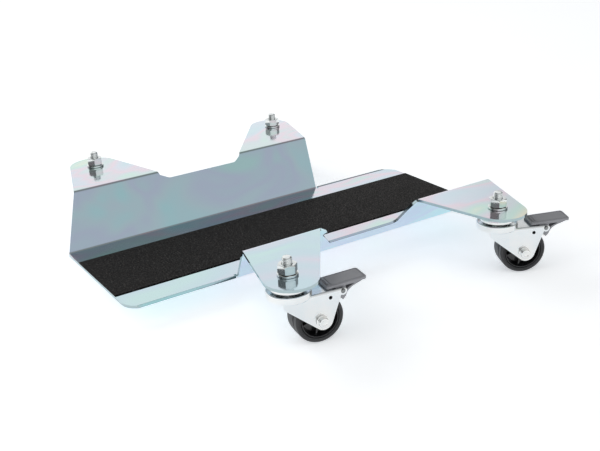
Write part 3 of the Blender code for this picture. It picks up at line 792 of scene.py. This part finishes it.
def dress_castor(name, meshes, looks):
    place, axle = PLACES[name]
    swivel, wheel, pedal = (f"{name}_{part}" for part in ("swivel", "wheel", "pedal"))
    at_axle = place @ Matrix.Translation(axle)
    at_pivot = place @ Matrix.Translation(PIVOT)
    stem = Matrix.Translation(place.translation)
    braked = name in BRAKED

    def put(part, mesh, where, look, body, node=None, bevel=0.0):
        """Place one detailed piece for the CAD node of its name, for another one, or for none ("")."""
        nodes = [f"{name}_{node or part}"] if node != "" else []
        made = piece(f"{name}_{part}_fine", meshes[mesh], where, looks[look], body, nodes)
        if bevel:
            soften(made, bevel)

    put("bolt_head", "bolt_head", stem, "bolt", "frame", "king_bolt")
    put("bolt_thread", "bolt_thread", stem, "bolt", "frame", "")
    turned_nut = stem @ Matrix.Rotation(math.radians(NUT_TURNS[name]), 4, "Z")
    put("lock_nut", "lock_nut", turned_nut, "bolt", "frame", bevel=0.15 * MM)
    put("top_race", "top_race", stem, "bright", "frame")
    fork = "braked_fork" if braked else "plain_fork"
    put("fork", fork, place, "bright", swivel, bevel=0.3 * MM)
    put("tyre", "tyre", at_axle, "tread", wheel)
    put("hub", "hub", at_axle, "hub", wheel, bevel=0.2 * MM)
    put("axle_bolt", "axle_bolt", at_axle, "bright", swivel)
    if braked:
        put("brake_pedal", "pedal", at_pivot, "pedal", pedal, bevel=0.25 * MM)
        put("brake_shoe", "shoe", at_pivot, "bright", pedal, bevel=0.2 * MM)
        dress_node(name + "_pedal_pin", looks["worn"], 0.15 * MM)
    dress_node(name + "_washer", looks["bolt"], 0.2 * MM)
    dress_node(name + "_king_rivet", looks["bright"], 0.2 * MM)
    dress_node(name + "_ball_ring", looks["bolt"])
    dress_node(name + "_axle_nut", looks["bright"], 0.15 * MM)
    dress_node(name + "_axle_bush", looks["bolt"], 0.15 * MM)


def castor_meshes():
    low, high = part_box("front_left_king_bolt")
    nut_low, nut_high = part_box("front_left_lock_nut")
    race_low, race_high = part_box("front_left_top_race")
    tyre_low, tyre_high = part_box("front_left_tyre")
    half = WHEEL_HALF
    radius = (tyre_high.z - tyre_low.z) / 2
    thread, head = bolt_meshes(low.z, high.z + BOLT_RISE, nut_low.z)
    body, limit, hole = hex_parts(NUT_ACROSS, nut_low.z, nut_high.z, 0.5 * MM, BOLT_RADIUS + 0.1 * MM)
    return {
        "bolt_thread": thread,
        "bolt_head": head,
        "lock_nut": solid("lock_nut", body, kept=[limit], cut=[hole]),
        "top_race": top_race_mesh(race_low.z, race_high.z),
        "plain_fork": fork_mesh("plain_fork", False),
        "braked_fork": fork_mesh("braked_fork", True),
        "tyre": tyre_mesh(radius, half),
        "hub": hub_mesh(half),
        "axle_bolt": axle_bolt_mesh(),
        "pedal": pedal_mesh(),
        "shoe": shoe_mesh(),
    }


def make_looks():
    return {
        "sheet": zinc_sheet(),
        "bright": bright_zinc(),
        "bolt": bolt_steel(),
        "worn": worn_steel(),
        "grit": grit(),
        "tread": tread_rubber(),
        "hub": hub_plastic(),
        "pedal": pedal_plastic(),
    }


# --- Studio ------------------------------------------------------------------


def make_floor():
    """Pale paper that gives off a little light of its own, so that shadows on it stay faint."""
    bm = bmesh.new()
    bmesh.ops.create_grid(bm, x_segments=8, y_segments=8, size=FLOOR_REACH)
    floor = bpy.data.objects.new("floor", mesh_of(bm, "floor"))
    look = Nodes("floor_paper")
    tint = look.ramp(look.noise(1.5, 1), [(0.3, (0.89, 0.90, 0.91)), (0.7, (0.91, 0.91, 0.91))])
    glow = {"Emission_Color": (0.94, 0.97, 1.0, 1), "Emission_Strength": FLOOR_GLOW}
    floor.data.materials.append(look.finish(tint, Roughness=0.9, **glow))
    bpy.context.scene.collection.objects.link(floor)


def make_light(name, place, size, power):
    """A soft panel of light that faces the object and isn't seen in its reflections."""
    light = bpy.data.lights.new(name, "AREA")
    light.shape = "RECTANGLE"
    light.size, light.size_y = size
    light.energy = power
    obj = bpy.data.objects.new(name, light)
    obj.location = place
    obj.visible_glossy = False
    obj.rotation_euler = (-Vector(place)).to_track_quat("-Z", "Y").to_euler()
    bpy.context.scene.collection.objects.link(obj)


def glow_ramp(tree, value, reach, glows):
    """A grey that follows a value from -reach to reach, given as (value, glow) pairs."""
    across = tree.nodes.new("ShaderNodeMapRange")
    across.inputs["From Min"].default_value = -reach
    across.inputs["From Max"].default_value = reach
    tree.links.new(value, across.inputs["Value"])
    ramp = tree.nodes.new("ShaderNodeValToRGB")
    elements = ramp.color_ramp.elements
    while len(elements) < len(glows):
        elements.new(0.5)
    for element, (at, glow) in zip(elements, glows):
        element.position = 0.5 + at / reach / 2
        element.color = (glow, glow, glow, 1)
    tree.links.new(across.outputs["Result"], ramp.inputs["Fac"])
    return ramp.outputs["Color"]


def make_world():
    """White walls, dimmer to the sides, under a dim ceiling with a dark strip along X."""
    world = bpy.data.worlds.new("studio")
    world.use_nodes = True
    bpy.context.scene.world = world
    tree = world.node_tree
    place = tree.nodes.new("ShaderNodeTexCoord").outputs["Generated"]
    split = tree.nodes.new("ShaderNodeSeparateXYZ")
    tree.links.new(place, split.inputs["Vector"])
    slope = tree.nodes.new("ShaderNodeMath")
    slope.operation = "DIVIDE"
    tree.links.new(split.outputs["Y"], slope.inputs[0])
    tree.links.new(split.outputs["Z"], slope.inputs[1])
    both = tree.nodes.new("ShaderNodeMix")
    both.data_type = "RGBA"
    both.blend_type = "MULTIPLY"
    both.inputs["Factor"].default_value = 1
    tree.links.new(glow_ramp(tree, slope.outputs["Value"], STRIP_REACH, CEILING), both.inputs["A"])
    tree.links.new(glow_ramp(tree, split.outputs["X"], 1, SIDE_WALLS), both.inputs["B"])
    seen = tree.nodes.new("ShaderNodeMix")
    seen.data_type = "RGBA"
    seen.inputs["B"].default_value = BACKDROP
    tree.links.new(tree.nodes.new("ShaderNodeLightPath").outputs["Is Camera Ray"], seen.inputs["Factor"])
    tree.links.new(both.outputs["Result"], seen.inputs["A"])
    tree.links.new(seen.outputs["Result"], tree.nodes["Background"].inputs["Color"])


def make_studio():
    make_world()
    make_floor()
    make_light("softbox_left", (-1.9, 0.3, 1.2), (1.3, 1.3), 11)
    make_light("softbox_back", (-0.6, 2.0, 1.7), (1.6, 1.0), 14)


def make_camera():
    camera = bpy.data.cameras.new("camera")
    camera.lens = CAMERA_LENS
    obj = bpy.data.objects.new("camera", camera)
    heading = Matrix.Rotation(CAMERA_HEADING, 4, "Z")
    pitch = Matrix.Rotation(CAMERA_PITCH, 4, "X")
    roll = Matrix.Rotation(CAMERA_ROLL, 4, "Z")
    obj.matrix_world = Matrix.Translation(CAMERA_PLACE) @ heading @ pitch @ roll
    bpy.context.scene.collection.objects.link(obj)
    bpy.context.scene.camera = obj


def main():
    make_camera()
    make_studio()
    looks = make_looks()
    dress_node("dolly_plate", looks["sheet"], SHEET_BEVEL)
    dress_node("grip_tape", looks["grit"], 0.2 * MM)
    meshes = castor_meshes()
    for name in CASTORS:
        dress_castor(name, meshes, looks)
    bpy.context.scene.view_settings.view_transform = "Standard"


main()
